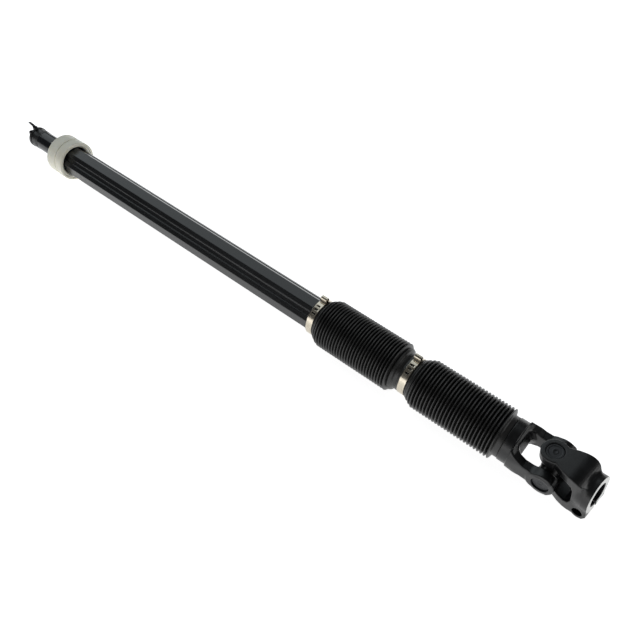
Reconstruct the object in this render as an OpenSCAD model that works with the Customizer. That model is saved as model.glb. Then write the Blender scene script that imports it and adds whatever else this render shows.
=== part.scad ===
// Telescopic steering shaft with a universal joint.
//
// A grooved profile tube carries a round end and a nylon bearing ring. A keyed shaft
// telescopes in the tube under two rubber bellows, and ends in a forged yoke, a cross
// on needle bearings, and a splined clamp yoke with a pinch slot.
//
// Row frame: X runs along the shaft toward the universal joint, Z is up, and the
// origin is the centre of the bearing ring. Every node is drawn at its rest place.

/* [Profile tube] */
// Far end of the tube, inside the bearing ring
tube_start = -10; // [-14:1:0]
// Near end of the tube, under the first bellows cuff
tube_end = 461.5; // [300:1:600]
// Axis to each plain flat of the tube
tube_plain = 19.1; // [12:0.1:30]
// Axis to each grooved flat of the tube
tube_grooved = 18; // [12:0.1:30]
// Width of the groove along each grooved flat
groove_w = 6; // [2:0.5:10]
// Depth of that groove
groove_d = 1.2; // [0.5:0.1:2]
// Wall between the outer and inner flats
tube_wall = 3.2; // [2:0.1:5]

/* [Round end and bearing ring] */
// Radius of the round end
stub_r = 13.5; // [8:0.5:18]
// Free end of the round end, under its cap
stub_end = -73.5; // [-120:1:-40]
// Length of the plug that is pressed into the tube
plug_len = 40; // [10:1:80]
// Outer radius of the nylon ring
ring_r = 27.5; // [20:0.5:40]
// Bore radius of the nylon ring
ring_bore_r = 20.3; // [20.2:0.1:24]
// Length of the nylon ring
ring_len = 30; // [10:1:60]
// Place of the ring's groove, from its centre
ring_groove_x = 2.5; // [-10:0.5:10]
// Width of the ring's groove
ring_groove_w = 1.6; // [0.5:0.1:3]
// Depth of the ring's groove
ring_groove_d = 0.8; // [0.2:0.1:2]

/* [End cap and tie] */
// Length of the cap over the round end
cap_len = 19; // [6:0.5:30]
// Wall of the cap
cap_wall = 1.2; // [0.5:0.1:3]
// Width of the tie strap
tie_w = 4; // [2:0.1:8]
// Thickness of the tie strap
tie_t = 1.1; // [0.8:0.1:2]
// Length of the tie's free tail
tail_len = 17.5; // [5:1:60]

/* [Bellows] */
// Outer radius over the folds
fold_r = 29.4; // [24:0.1:40]
// Depth of the folds
fold_depth = 5; // [2:0.1:8]
// Rubber wall, measured along the radius
fold_wall = 1.7; // [1:0.1:3]
// Full-size folds on the upper bellows
upper_folds = 26; // [10:1:40]
// Full-size folds on the lower bellows
lower_folds = 25; // [10:1:40]
// Distance from fold to fold on the upper bellows
upper_pitch = 3.7; // [3:0.05:6]
// Distance from fold to fold on the lower bellows
lower_pitch = 3.9; // [3:0.05:6]

/* [Ear clamps] */
// Width of the clamp band
band_w = 8; // [5:0.5:14]
// Thickness of the clamp band
band_t = 0.7; // [0.5:0.1:1.2]
// Middle of the first clamp along the shaft
clamp_1_x = 457.5; // [400:1:600]
// Middle of the second clamp along the shaft
clamp_2_x = 585; // [500:1:700]
// Turn of both crimped ears about the shaft, from the top toward +Y
ear_turn = 16; // [-180:1:180]
// Height of the crimped ear above the band
ear_h = 8; // [3:0.5:10]
// Angle that the outer end of the band laps back from the ear, toward -Y
lap_turn = 77; // [30:1:160]
// Angle from one window in the band to the next
window_turn = 12.5; // [8:0.5:20]

/* [Sliding shaft] */
// Far end of the sliding shaft, inside the tube
slide_start = 235; // [100:1:300]
// Near end of its keyed profile, where the yoke begins
slide_end = 689.5; // [600:1:720]
// Sliding gap to the liner and the guide bush
slide_gap = 0.3; // [0.1:0.05:1]
// Wall of the liner in the tube
liner_wall = 1.1; // [0.5:0.1:3]
// Length of the liner
liner_len = 66; // [20:1:120]
// Radius of the spigot that is fixed in the yoke
spigot_r = 11.5; // [8:0.5:14]

/* [Universal joint] */
// Centre of the cross along the shaft
cross_x = 752.5; // [740:0.5:770]
// Rest pitch of the clamp yoke, near end upward
rest_pitch = 9; // [-20:0.5:20]
// Rest yaw of the clamp yoke, near end toward -Y
rest_yaw = 5.5; // [-20:0.1:20]
// Outer radius of a bearing cup
cup_r = 9.1; // [6:0.1:14]
// Length of a bearing cup
cup_len = 9.6; // [6:0.1:20]
// Distance from the joint centre to the inner face of a yoke ear
ear_in = 15.4; // [12:0.1:24]
// Distance from the joint centre to the outer face of a yoke ear
ear_out = 26.2; // [20:0.1:36]
// Outer radius of a yoke ear round its bearing
ear_r = 14; // [11:0.1:18]
// Radius of a cross trunnion
trunnion_r = 6.2; // [4:0.1:9]
// Radius of one needle roller
needle_r = 1; // [0.5:0.1:2]
// Needle rollers in one cup
needle_count = 20; // [12:1:24]
// Running gap in the needle bearings
needle_gap = 0.03; // [0.01:0.01:0.1]

/* [Inner yoke] */
// Radius of the yoke hub
hub_r = 24.5; // [18:0.1:30]
// Far face of the yoke hub
hub_start = 704.1; // [700:0.1:715]
// Length of the round hub, as far as the fork's shoulders
hub_len = 10; // [6:0.5:20]
// Round outside of the fork's arms
arm_round_r = 27.8; // [26:0.1:32]
// Radius of the yoke's spigot under the bellows cuff
cuff_seat_r = 21; // [16:0.1:24]
// Distance from the joint centre back to the fork's window
window_x = 31; // [20:0.5:34]
// Corner radius of the fork's window
window_r = 6; // [2:0.5:14]
// Half height of the fork's arms
arm_half = 8.6; // [6:0.1:13]

/* [Clamp yoke] */
// Distance from the joint centre to the yoke's end face
yoke_len = 49; // [40:0.5:70]
// Radius of the round end of the yoke
yoke_r = 20.5; // [17:0.1:28]
// Distance from the joint centre to the bottom of the fork
fork_x = 31; // [24:0.5:36]
// Half width of the yoke body and its pinch lug
lug_half = 18; // [12:0.5:24]
// Radius of the lug about the pinch bolt
lug_r = 8.6; // [7:0.1:12]
// Radius of the splined bore at the tips of its teeth
bore_r = 12.2; // [8:0.1:15]
// Depth of the spline teeth
tooth_d = 0.9; // [0.3:0.1:1.5]
// Number of spline teeth
tooth_count = 36; // [20:1:60]
// Radius of the pinch bolt hole
bolt_r = 5.25; // [3:0.05:8]
// Distance from the joint centre to the pinch bolt, along the yoke
bolt_x = 40; // [34:0.5:48]
// Distance from the yoke axis down to the pinch bolt
bolt_drop = 18.6; // [16:0.1:22]
// Width of the pinch slot
slot_w = 3; // [1.5:0.1:5]

/* [Hidden] */
round_fn = 96;       // facets that stand for a true round
small_fn = 36;
hair = 0.02;         // gap of parts that seat on one another
reach = 80;          // longer than any cut needs to be
key_w = 5;           // width of the keys inside the tube
bore_plain = tube_plain - tube_wall;
bore_grooved = tube_grooved - tube_wall;
seat_r = 20.95;      // round outside of the collar at the tube's end
collar_len = 14;
bush_r = 20.2;       // round outside of the guide bush
neck_wall = 0.95;
neck_1_r = bush_r + hair + neck_wall;
neck_2_r = neck_1_r + hair + neck_wall;
cuff_1_r = seat_r + hair + neck_wall;
cuff_2_r = 23.7;
upper_first = clamp_1_x + 16.5;                                   // first full-size fold
upper_last = upper_first + (upper_folds - 1) * upper_pitch;
lower_first = clamp_2_x + 17.3;
lower_last = lower_first + (lower_folds - 1) * lower_pitch;
fold_root = fold_r - fold_depth;
cup_bore_r = trunnion_r + 2 * needle_r + 3 * needle_gap;
cup_end = ear_in + cup_len;
cup_floor = 1.8;
needle_len = 6.4;
spigot_end = cross_x - window_x - 4;
cap_x0 = stub_end - 3;                                 // outside of the cap's end
cap_r = stub_r - cap_wall + 0.35;
tie_x = cap_x0 + 3.8;                                    // middle of the tie strap
tail_lean = 22;                                        // the tie's tail, from the top toward -Y

// ---------- helpers ----------

// turns a profile of [radius, place] points about the X axis
module turned_x() rotate([0, 90, 0]) rotate_extrude($fn = round_fn) children();

// round bar along X
module bar_x(x0, x1, r) translate([x0, 0, 0]) rotate([0, 90, 0]) cylinder(h = x1 - x0, r = r, $fn = round_fn);

// 2D section in the YZ plane, drawn out along X
module drawn_x(x0, x1) translate([x0, 0, 0]) rotate([90, 0, 90]) linear_extrude(height = x1 - x0) children();

// round bar along Y between two distances, on one side
module bar_y(y0, y1, r, fn = round_fn) translate([0, y0, 0]) rotate([-90, 0, 0]) cylinder(h = y1 - y0, r = r, $fn = fn);

// eight-sided section with a notch in each of the four flats at 45 degrees
module section(plain, grooved, notch_w, notch_d) {
  difference() {
    intersection() {
      square(2 * plain, center = true);
      rotate(45) square(2 * grooved, center = true);
    }
    for (a = [45 : 90 : 315]) rotate(a)
      translate([grooved - notch_d, -notch_w / 2]) square([plain, notch_w]);
  }
}

// inside of the tube, and the same shape drawn in by a gap
module tube_bore_2d(gap) section(bore_plain - gap, bore_grooved - gap, key_w + 2 * gap, groove_d);

// the keyed outside of the sliding shaft, grown by a gap
module shaft_2d(gap) tube_bore_2d(hair + liner_wall + slide_gap - gap);

// places children at the centre of the cross
module at_joint() translate([cross_x, 0, 0]) children();

// frames of the cross and of the clamp yoke at rest
module cross_frame() at_joint() rotate([0, -rest_pitch, 0]) children();
module yoke_frame() cross_frame() rotate([0, 0, -rest_yaw]) children();

// children drawn along Y, repeated on both sides of the joint
module both_y() for (s = [0, 180]) rotate([0, 0, s]) children();

// children drawn along Y, turned to stand along Z on both sides
module both_z() for (s = [-90, 90]) rotate([s, 0, 0]) children();

// ---------- body: upper shaft ----------

module profile_tube() color("dimgray") difference() {
  drawn_x(tube_start, tube_end) section(tube_plain, tube_grooved, groove_w, groove_d);
  drawn_x(tube_start - 1, tube_end + 1) tube_bore_2d(0);
}

module upper_stub() color("black") {
  shoulder = 4;
  chamfer = 1.5;
  union() {
    turned_x() polygon([
      [0, stub_end], [cap_r - 0.05 - chamfer, stub_end], [cap_r - 0.05, stub_end + chamfer],
      [cap_r - 0.05, cap_x0 + cap_len + 0.3], [stub_r, cap_x0 + cap_len + 0.3],
      [stub_r, tube_start - shoulder], [bore_grooved + 3, tube_start - 1],
      [bore_grooved + 3, tube_start], [0, tube_start]
    ]);
    drawn_x(tube_start, tube_start + plug_len) tube_bore_2d(hair);
  }
}

module bearing_ring() color("ivory") {
  h = ring_len / 2;
  chamfer = 0.8;
  lip = 1.6;
  g0 = ring_groove_x - ring_groove_w / 2;
  g1 = ring_groove_x + ring_groove_w / 2;
  turned_x() polygon([
    [ring_bore_r, -h + chamfer], [ring_bore_r + chamfer, -h], [ring_r - chamfer, -h],
    [ring_r, -h + chamfer], [ring_r, g0], [ring_r - ring_groove_d, g0],
    [ring_r - ring_groove_d, g1], [ring_r, g1], [ring_r, h - chamfer],
    [ring_r - chamfer, h], [ring_bore_r + 2 * lip, h], [ring_bore_r + lip, h - chamfer],
    [ring_bore_r + chamfer, h - chamfer], [ring_bore_r, h - 2 * chamfer]
  ]);
}

module end_cap() color("black") {
  out = cap_r + cap_wall;
  groove = 0.7;
  dome = 2;
  lip_x = cap_x0 + cap_len;
  turned_x() polygon(concat(
    [[0, cap_x0]],
    [for (a = [0 : 15 : 90]) [out - dome + dome * sin(a), cap_x0 + dome - dome * cos(a)]],
    [[out, tie_x - tie_w / 2 - 0.3], [out - groove, tie_x - tie_w / 2 - 0.3],
     [out - groove, tie_x + tie_w / 2 + 0.3], [out, tie_x + tie_w / 2 + 0.3],
     [out, lip_x], [cap_r, lip_x], [cap_r, stub_end - hair], [0, stub_end - hair]]
  ));
}

module cable_tie() color("black") {
  seat = cap_r + cap_wall - 0.7 + hair;
  head = [4.8, 6, 4.6];
  tail_w = tie_w;
  union() {
    translate([tie_x, 0, 0]) rotate([0, 90, 0]) difference() {
      cylinder(h = tie_w, r = seat + tie_t, center = true, $fn = round_fn);
      cylinder(h = tie_w + 1, r = seat, center = true, $fn = round_fn);
    }
    translate([tie_x - head[0] / 2, -head[1] / 2, seat + tie_t / 2]) cube([head[0], head[1], head[2] - tie_t / 2]);
    translate([tie_x - tail_w / 2, -tie_t / 2, seat + head[2] - 1]) rotate([tail_lean, 0, 0]) cube([tail_w, tie_t, tail_len - head[2]]);
  }
}

module tube_collar() color("dimgray") difference() {
  bar_x(tube_end - collar_len + 4, tube_end + 4, seat_r);
  drawn_x(tube_end - collar_len, tube_end) section(tube_plain + hair, tube_grooved + hair, groove_w - 2 * hair, groove_d);
  drawn_x(tube_end - 1, tube_end + 5) shaft_2d(slide_gap + 0.4);
}

module tube_liner() color("white") difference() {
  drawn_x(tube_end - liner_len, tube_end) tube_bore_2d(hair);
  drawn_x(tube_end - liner_len - 1, tube_end + 1) tube_bore_2d(hair + liner_wall);
}

// outside and inside of a run of folds: a crest at each place, a root between them
function folds(first, count, pitch, in) = [
  for (i = [0 : count - 1]) each [
    [fold_r - in, first + i * pitch],
    [fold_root - in, first + (i + 0.5) * pitch]
  ]
];
function back(list) = [for (i = [len(list) - 1 : -1 : 0]) list[i]];

// two lead-in folds, smaller than the rest, ahead of the first full-size fold
function lead_in(first, in) = [
  [fold_r - 3.7 - in, first - 10], [fold_r - 6.3 - in, first - 7.4],
  [fold_r - 1.1 - in, first - 4.9], [fold_root - 0.6 - in, first - 2.4]
];

module upper_bellows() color("black") {
  cuff_x0 = clamp_1_x - band_w / 2 - 1.2;
  neck_x0 = clamp_2_x - band_w / 2 - 6.2;
  neck_x1 = clamp_2_x + band_w / 2 + 2;
  outside = concat(
    [[cuff_1_r, cuff_x0], [cuff_1_r, clamp_1_x + band_w / 2]],
    lead_in(upper_first, 0),
    folds(upper_first, upper_folds, upper_pitch, 0),
    [[fold_root + 0.8, upper_last + upper_pitch], [neck_1_r, neck_x0], [neck_1_r, neck_x1]]
  );
  inside = concat(
    [[seat_r + hair, cuff_x0], [seat_r + hair, tube_end + 1]],
    lead_in(upper_first, fold_wall),
    folds(upper_first, upper_folds, upper_pitch, fold_wall),
    [[fold_root + 0.8 - fold_wall, upper_last + upper_pitch], [bush_r + hair, neck_x0], [bush_r + hair, neck_x1]]
  );
  turned_x() polygon(concat(outside, back(inside)));
}

module lower_bellows() color("black") {
  neck_x0 = clamp_2_x - band_w / 2 - 3;
  neck_x1 = clamp_2_x + band_w / 2 + 1;
  cuff_x0 = lower_last + 3;
  outside = concat(
    [[neck_2_r, neck_x0], [neck_2_r, neck_x1]],
    lead_in(lower_first, 0),
    folds(lower_first, lower_folds, lower_pitch, 0),
    [[cuff_2_r, cuff_x0], [cuff_2_r, hub_start - hair]]
  );
  inside = concat(
    [[neck_1_r + hair, neck_x0], [neck_1_r + hair, neck_x1]],
    lead_in(lower_first, fold_wall),
    folds(lower_first, lower_folds, lower_pitch, fold_wall),
    [[cuff_seat_r + hair, cuff_x0], [cuff_seat_r + hair, hub_start - hair]]
  );
  turned_x() polygon(concat(outside, back(inside)));
}

// ---------- ear clamps ----------

// cut across the crimped ear: a loop of band on a narrow neck, grown by a thickness
module ear_2d(r, grow) union() {
  loop_r = 2.6;
  neck = 1.3;
  translate([0, r + ear_h - loop_r - band_t]) circle(r = loop_r + grow, $fn = small_fn);
  translate([-neck - grow, r - 1]) square([2 * (neck + grow), ear_h - loop_r - band_t + 1]);
}

// one strip of band: a closed ring, a crimped ear, and the outer end lapped over the
// ring with windows that hook on it
module ear_clamp(x, r) color("silver") translate([x, 0, 0]) rotate([-ear_turn, 0, 0]) difference() {
  pad = 1.8;
  window = [band_w - 2 * pad, 2.2, band_t];
  union() {
    rotate([0, 90, 0]) cylinder(h = band_w, r = r + band_t, center = true, $fn = round_fn);
    rotate([90, 0, 90]) rotate([0, 0, 90]) rotate_extrude(angle = lap_turn, $fn = round_fn)
      translate([r + band_t, 0]) square([2 * band_t, band_w], center = true);
    drawn_x(-band_w / 2, band_w / 2) ear_2d(r, band_t);
  }
  rotate([0, 90, 0]) cylinder(h = band_w + 1, r = r, center = true, $fn = round_fn);
  drawn_x(-band_w, band_w) difference() {
    ear_2d(r, 0);
    circle(r = r + band_t, $fn = round_fn);
  }
  for (i = [0 : 2]) rotate([24 + i * window_turn, 0, 0])
    translate([-window[0] / 2, -window[1] / 2, r + band_t]) cube(window + [0, 0, band_t]);
}

module clamp_1() ear_clamp(clamp_1_x, cuff_1_r + hair);
module clamp_2() ear_clamp(clamp_2_x, neck_2_r + hair);

// ---------- body: guide between the bellows ----------

module guide_bush() color("white") {
  x0 = clamp_2_x - band_w / 2 - 5;
  x1 = clamp_2_x + band_w / 2 + 9;
  difference() {
    bar_x(x0, x1, bush_r);
    drawn_x(x0 - 1, x1 + 1) shaft_2d(slide_gap);
  }
}

// ---------- body: lower shaft ----------

module sliding_shaft() color("gray") union() {
  drawn_x(slide_start, slide_end) shaft_2d(0);
  bar_x(slide_end, spigot_end, spigot_r);
}

// outline of the fork from above: straight outside, window with round corners
module fork_top_2d() {
  shoulder_x = cross_x - hub_start - hub_len;
  outer = ear_out - 0.8;
  difference() {
    polygon([
      [-shoulder_x, -hub_r], [-shoulder_x + 2.5, -outer], [0, -ear_out], [0, ear_out],
      [-shoulder_x + 2.5, outer], [-shoulder_x, hub_r]
    ]);
    translate([-window_x + window_r, -ear_in]) square([reach, 2 * ear_in]);
    translate([-window_x, -ear_in + window_r]) square([reach, 2 * (ear_in - window_r)]);
    for (s = [-1, 1]) translate([-window_x + window_r, s * (ear_in - window_r)]) circle(r = window_r, $fn = small_fn);
  }
}

// outline of the fork from the side: round hub drawn in to the arms
module fork_side_2d() {
  shoulder_x = cross_x - hub_start - hub_len;
  polygon([
    [-shoulder_x, -16], [-shoulder_x + 5, -13.5], [-window_x + 4, -11], [-window_x + 9, -arm_half],
    [0, -arm_half], [0, arm_half], [-window_x + 9, arm_half], [-window_x + 4, 11],
    [-shoulder_x + 5, 13.5], [-shoulder_x, 16]
  ]);
}

// round body that the fork is cut from, swelling from the hub to the arms
module fork_round() turned_x() polygon([
  [0, hub_start - cross_x], [hub_r, hub_start - cross_x], [hub_r, hub_start + hub_len - cross_x - hair],
  [hub_r + 1.6, hub_start + hub_len - cross_x + 2], [arm_round_r, -window_x + 6], [arm_round_r, reach], [0, reach]
]);

module inner_yoke() color("black") difference() {
  union() {
    bar_x(slide_end, hub_start, cuff_seat_r);
    bar_x(hub_start, hub_start + hub_len + 0.2, hub_r);
    at_joint() {
      intersection() {
        linear_extrude(height = reach, center = true) fork_top_2d();
        rotate([90, 0, 0]) linear_extrude(height = reach, center = true) fork_side_2d();
        fork_round();
      }
      both_y() bar_y(ear_in, ear_out, ear_r);
    }
  }
  at_joint() bar_y(-reach, reach, cup_r + hair);
  bar_x(slide_end - 1, spigot_end + hair, spigot_r + hair);
}

// bearing cup along Y, its open mouth toward the joint centre
module cup() {
  chamfer = 0.9;
  dimple = 2.6;
  rotate([-90, 0, 0]) rotate_extrude($fn = round_fn) polygon([
    [cup_bore_r, ear_in], [cup_r, ear_in], [cup_r, cup_end - chamfer], [cup_r - chamfer, cup_end],
    [dimple, cup_end], [dimple - 1, cup_end - 0.6], [0, cup_end - 0.6],
    [0, cup_end - cup_floor], [cup_bore_r, cup_end - cup_floor]
  ]);
}

// ring of needle rollers along Y, inside a cup
module needles() for (i = [0 : needle_count - 1]) rotate([0, i * 360 / needle_count, 0])
  translate([0, 0, trunnion_r + needle_gap + needle_r]) bar_y(ear_in + 1.4, ear_in + 1.4 + needle_len, needle_r, small_fn);

module inner_yoke_cups() color("gray") at_joint() both_y() cup();
module inner_yoke_needles() color("silver") at_joint() both_y() needles();

// ---------- body: cross ----------

module cross_spider() color("gray") cross_frame() {
  core_r = 9.2;
  shoulder = ear_in - 2.2;
  tip = cup_end - cup_floor - 0.35;
  union() {
    for (a = [0, 90]) rotate([a, 0, 0]) {
      bar_y(-shoulder, shoulder, core_r);
      bar_y(-tip, tip, trunnion_r);
    }
  }
}

module seal() rotate([-90, 0, 0]) rotate_extrude($fn = round_fn)
  polygon([[trunnion_r + hair, ear_in - 2.18], [9, ear_in - 2.18], [8.6, ear_in - 0.35], [trunnion_r + hair, ear_in - 0.35]]);

module cross_seals() color("black") cross_frame() {
  both_y() seal();
  both_z() seal();
}

// ---------- body: clamp yoke ----------

// the clamp yoke seen from above
module yoke_top_2d() union() {
  circle(r = ear_r, $fn = round_fn);
  polygon([
    [0, -ear_r], [10, -ear_r], [fork_x - 1, -lug_half], [fork_x + 5, -lug_half], [yoke_len - 6, -13],
    [yoke_len - 6, 13], [fork_x + 5, lug_half], [fork_x - 1, lug_half], [10, ear_r], [0, ear_r]
  ]);
}

// the clamp yoke seen from the side, with the open fork
module yoke_side_2d() {
  bottom = 7;
  difference() {
    polygon([
      [-ear_r, -ear_out], [fork_x + 1, -ear_out + 0.3], [fork_x + 6, -ear_out + 2.5], [yoke_len - 9, -19],
      [yoke_len - 4, -15], [yoke_len - 4, 15], [yoke_len - 9, 19], [fork_x + 6, ear_out - 2.5],
      [fork_x + 1, ear_out - 0.3], [-ear_r, ear_out]
    ]);
    translate([-reach, -ear_in]) square([reach + fork_x - bottom, 2 * ear_in]);
    translate([-reach, -ear_in + bottom]) square([reach + fork_x, 2 * (ear_in - bottom)]);
    for (s = [-1, 1]) translate([fork_x - bottom, s * (ear_in - bottom)]) circle(r = bottom, $fn = small_fn);
  }
}

// the pinch lug seen from the side, rounded about the bolt
module lug_2d() union() {
  translate([bolt_x, -bolt_drop]) circle(r = lug_r, $fn = round_fn);
  polygon([
    [fork_x + 1, -6], [fork_x + 1, -ear_out + 3], [bolt_x - 2, -bolt_drop - lug_r + 0.2], [bolt_x, -bolt_drop],
    [bolt_x + lug_r, -bolt_drop], [yoke_len - 0.6, -bolt_drop + 5], [yoke_len - 0.6, -6]
  ]);
}

// widened teeth gaps of the spline, cut outward from the plain bore
module spline_gaps_2d() for (i = [0 : tooth_count - 1]) rotate(i * 360 / tooth_count)
  translate([bore_r - 0.3, 0]) polygon([[0, -0.62], [tooth_d + 0.3, -0.32], [tooth_d + 0.3, 0.32], [0, 0.62]]);

module clamp_yoke() color("black") yoke_frame() difference() {
  union() {
    intersection() {
      linear_extrude(height = reach, center = true) yoke_top_2d();
      rotate([90, 0, 0]) linear_extrude(height = reach, center = true) yoke_side_2d();
    }
    turned_x() polygon([
      [0, fork_x], [15, fork_x], [yoke_r - 1.5, yoke_len - 12], [yoke_r, yoke_len - 7],
      [yoke_r, yoke_len - 0.6], [yoke_r - 0.6, yoke_len], [0, yoke_len]
    ]);
    rotate([90, 0, 0]) linear_extrude(height = 2 * lug_half, center = true) lug_2d();
  }
  rotate([90, 0, 0]) bar_y(-reach, reach, cup_r + hair);
  bar_x(fork_x - 1, yoke_len + 1, bore_r);
  drawn_x(fork_x - 1, yoke_len + 1) spline_gaps_2d();
  translate([bolt_x, 0, -bolt_drop]) bar_y(-reach, reach, bolt_r);
  translate([fork_x - 8, -slot_w / 2, -reach]) cube([reach, slot_w, reach]);
}

module clamp_yoke_cups() color("gray") yoke_frame() both_z() cup();
module clamp_yoke_needles() color("silver") yoke_frame() both_z() needles();

profile_tube();
upper_stub();
bearing_ring();
end_cap();
cable_tie();
tube_collar();
tube_liner();
upper_bellows();
clamp_1();
guide_bush();
lower_bellows();
clamp_2();
sliding_shaft();
inner_yoke();
inner_yoke_cups();
inner_yoke_needles();
cross_spider();
cross_seals();
clamp_yoke();
clamp_yoke_cups();
clamp_yoke_needles();
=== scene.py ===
# %% [markdown]
# # A telescopic steering shaft, finished in Blender
# The CAD model gives every size, joint and place. These cells give each visible part
# the surface that its real material and making leave on it: folded rubber, forged and
# coated steel, a turned nylon ring, crimped stainless bands. Shapes are worked out
# with numpy as whole arrays, in millimetres along X, and become meshes in metres.

# %% Load the frame
import math

import bmesh
import bpy
import numpy as np
from mathutils import Matrix, Vector


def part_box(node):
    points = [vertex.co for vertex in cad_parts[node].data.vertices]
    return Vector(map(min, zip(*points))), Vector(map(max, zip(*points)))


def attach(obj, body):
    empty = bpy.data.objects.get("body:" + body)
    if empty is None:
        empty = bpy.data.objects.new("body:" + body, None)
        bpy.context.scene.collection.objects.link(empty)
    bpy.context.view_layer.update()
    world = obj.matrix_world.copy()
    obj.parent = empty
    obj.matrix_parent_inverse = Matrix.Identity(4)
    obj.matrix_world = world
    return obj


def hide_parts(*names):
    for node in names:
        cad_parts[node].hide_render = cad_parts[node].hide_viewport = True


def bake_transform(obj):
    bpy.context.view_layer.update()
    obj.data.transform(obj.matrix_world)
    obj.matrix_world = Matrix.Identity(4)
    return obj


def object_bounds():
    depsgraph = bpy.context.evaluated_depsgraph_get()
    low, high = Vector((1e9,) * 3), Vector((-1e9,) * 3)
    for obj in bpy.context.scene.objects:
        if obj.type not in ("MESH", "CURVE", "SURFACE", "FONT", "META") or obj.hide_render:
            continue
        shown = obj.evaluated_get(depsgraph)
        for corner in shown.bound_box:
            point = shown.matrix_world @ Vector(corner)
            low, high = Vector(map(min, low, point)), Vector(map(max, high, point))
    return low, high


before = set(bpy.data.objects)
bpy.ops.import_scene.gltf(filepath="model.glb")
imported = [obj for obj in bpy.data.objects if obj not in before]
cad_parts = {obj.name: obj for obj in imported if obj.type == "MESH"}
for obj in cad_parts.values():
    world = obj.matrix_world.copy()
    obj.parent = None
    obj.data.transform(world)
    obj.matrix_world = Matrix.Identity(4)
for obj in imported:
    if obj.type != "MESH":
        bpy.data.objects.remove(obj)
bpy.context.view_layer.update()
MM = 0.001


def span(node):
    """Lowest and highest corner of a CAD node, in millimetres."""
    low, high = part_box(node)
    return np.array(low) / MM, np.array(high) / MM


# %% [markdown]
# ## From arrays to meshes
# Nearly every part of a shaft is either turned on a lathe or drawn through a die, so
# two surfaces cover most of it: a profile turned about X, and a section swept along X.
# Both are a grid of points, with quads between neighbours. A grid that closes on
# itself in both directions is a watertight ring, like a doughnut.

# %% Grid surfaces
def grid_faces(rows, columns, close_rows=True, close_columns=True):
    """Quads between neighbours of a rows x columns grid, wrapped round where it closes."""
    r = np.arange(rows if close_rows else rows - 1)[:, None]
    c = np.arange(columns if close_columns else columns - 1)[None, :]
    r1, c1 = (r + 1) % rows, (c + 1) % columns
    quads = np.stack(
        np.broadcast_arrays(r * columns + c, r * columns + c1, r1 * columns + c1, r1 * columns + c), -1
    )
    return quads.reshape(-1, 4)


def make_piece(name, points, faces, finishes, body, node=None, slot=None, finish_of=None, sharp=38):
    """A mesh from points in millimetres and quads. finish_of(face centres, face normals)
    gives each face's place in the list of finishes."""
    mesh = bpy.data.meshes.new(name)
    points = np.ascontiguousarray(points.reshape(-1, 3) * MM, dtype=np.float32)
    mesh.vertices.add(len(points))
    mesh.vertices.foreach_set("co", points.ravel())
    mesh.loops.add(faces.size)
    mesh.loops.foreach_set("vertex_index", np.ascontiguousarray(faces, dtype=np.int32).ravel())
    mesh.polygons.add(len(faces))
    mesh.polygons.foreach_set("loop_start", np.arange(0, faces.size, faces.shape[1], dtype=np.int32))
    mesh.update(calc_edges=True)
    edit = bmesh.new()
    edit.from_mesh(mesh)
    bmesh.ops.remove_doubles(edit, verts=edit.verts, dist=2e-6)
    bmesh.ops.recalc_face_normals(edit, faces=edit.faces)
    edit.to_mesh(mesh)
    edit.free()
    mesh.validate()
    mesh.polygons.foreach_set("use_smooth", np.ones(len(mesh.polygons), dtype=bool))
    mesh.set_sharp_from_angle(angle=math.radians(sharp))
    for finish in finishes:
        mesh.materials.append(finish)
    if finish_of is not None:
        centres = np.empty(len(mesh.polygons) * 3)
        normals = np.empty(len(mesh.polygons) * 3)
        mesh.polygons.foreach_get("center", centres)
        mesh.polygons.foreach_get("normal", normals)
        picked = finish_of(centres.reshape(-1, 3) / MM, normals.reshape(-1, 3))
        mesh.polygons.foreach_set("material_index", picked.astype(np.int32))
    piece = bpy.data.objects.new(name, mesh)
    bpy.context.collection.objects.link(piece)
    if body:
        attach(piece, body)
    if node:
        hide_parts(node)
    print(f"{name}: {len(mesh.polygons)} faces")
    return piece


def soften(corners, cut, steps=5, support=0.25):
    """Rounds the corners of a closed outline: each corner becomes the curve that
    (1-t)^2 A + 2t(1-t) P + t^2 B draws between a point A before it and B after it.
    One extra point on either side keeps the flats flat when they are shaded."""
    p = np.asarray(corners, float)
    cut = np.broadcast_to(np.asarray(cut, float), (len(p),))[:, None]
    to_last, to_next = np.roll(p, 1, 0) - p, np.roll(p, -1, 0) - p
    length_last = np.linalg.norm(to_last, axis=1)[:, None]
    length_next = np.linalg.norm(to_next, axis=1)[:, None]
    reach = np.minimum(cut, 0.4 * np.minimum(length_last, length_next))
    extra = np.minimum(reach + support, 0.47 * np.minimum(length_last, length_next))
    a, b = p + to_last / length_last * reach, p + to_next / length_next * reach
    t = np.linspace(0, 1, steps)[None, :, None]
    arc = (1 - t) ** 2 * a[:, None] + 2 * t * (1 - t) * p[:, None] + t**2 * b[:, None]
    before, after = p + to_last / length_last * extra, p + to_next / length_next * extra
    return np.concatenate([before[:, None], arc, after[:, None]], 1).reshape(-1, 2)


def turned(profile, around=96):
    """Points of a profile of (x, radius), turned about X: y = r cos a, z = r sin a."""
    a = np.linspace(0, 2 * np.pi, around, endpoint=False)
    x, r = profile[:, 0][:, None], profile[:, 1][:, None]
    return np.stack([np.broadcast_to(x, (len(profile), around)), r * np.cos(a), r * np.sin(a)], -1)


def turned_piece(name, profile, finishes, body, around=96, **more):
    """A lathe part: its closed profile of (x, radius), turned about X."""
    points = turned(np.asarray(profile, float), around)
    return make_piece(name, points, grid_faces(*points.shape[:2]), finishes, body, **more)


# %% [markdown]
# ## Colours and nodes
# A hex colour is what a screen shows; Cycles works with light, so one function undoes
# the screen's curve. One more adds a node with its settings and its links.

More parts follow.
